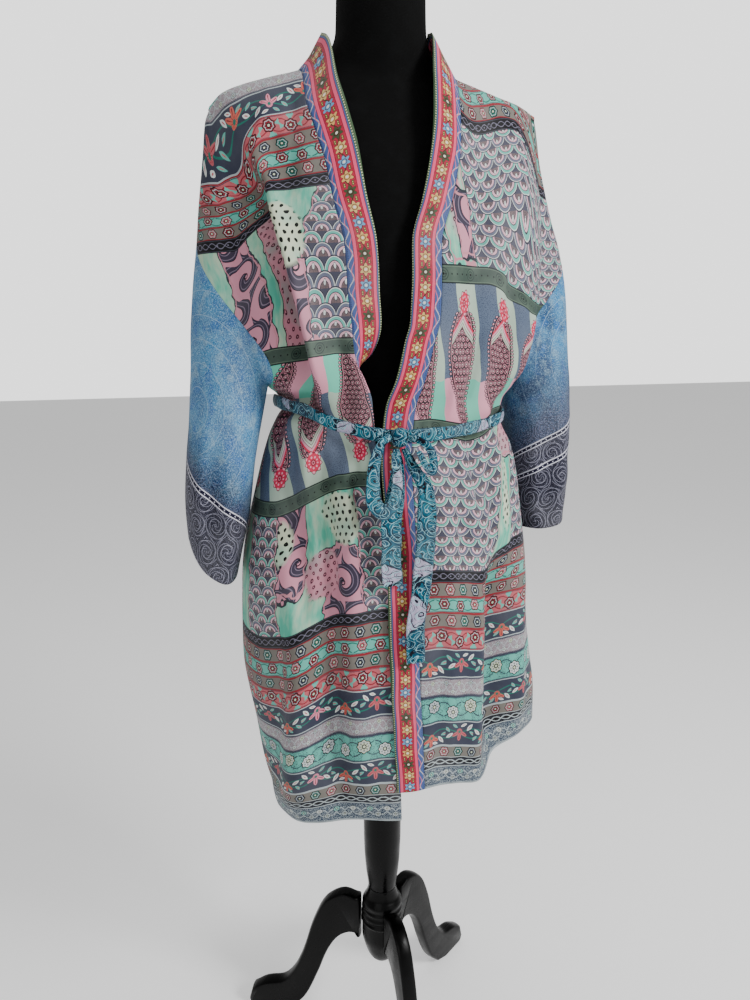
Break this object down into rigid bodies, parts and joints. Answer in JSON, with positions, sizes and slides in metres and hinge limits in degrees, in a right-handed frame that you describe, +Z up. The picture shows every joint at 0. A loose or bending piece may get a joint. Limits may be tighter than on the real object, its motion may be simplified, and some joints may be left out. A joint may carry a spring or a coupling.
{
  "type": "kimono jacket on a dress form",
  "caption": "Silk-look kimono jacket with wide sleeves, front band and tied belt, worn by a limbless dress form on a tripod stand.",
  "frame": {"origin": "on the floor, under the middle of the whole box", "axes": "+Z up, the jacket's front looks along -Y, the wearer's left is +X"},
  "size_m": [0.5588, 0.3712, 1.563],
  "materials": {
    "print_cloth": "soft silk with an all-over traditional print",
    "sleeve_cloth": "soft silk, mottled blue with a dark border",
    "band_cloth": "printed silk band with small flowers",
    "belt_cloth": "printed silk with scrolls, softly rolled",
    "form_cover": "matt black jersey cover",
    "stand_wood": "black satin lacquer on turned wood"
  },
  "bodies": {
    "root": {"form_torso": "form_cover", "form_neck_cap": "form_cover", "post": "stand_wood", "hub": "stand_wood", "leg_1": "stand_wood", "leg_2": "stand_wood", "leg_3": "stand_wood", "back": "print_cloth", "front_right": "print_cloth", "front_left": "print_cloth", "sleeve_right": "sleeve_cloth", "sleeve_left": "sleeve_cloth", "band_right": "band_cloth", "band_left": "band_cloth", "belt_waist": "belt_cloth", "belt_knot": "belt_cloth", "belt_loop_right": "belt_cloth", "belt_loop_left": "belt_cloth", "belt_tail_right": "belt_cloth", "belt_tail_left": "belt_cloth"}
  },
  "joints": []
}
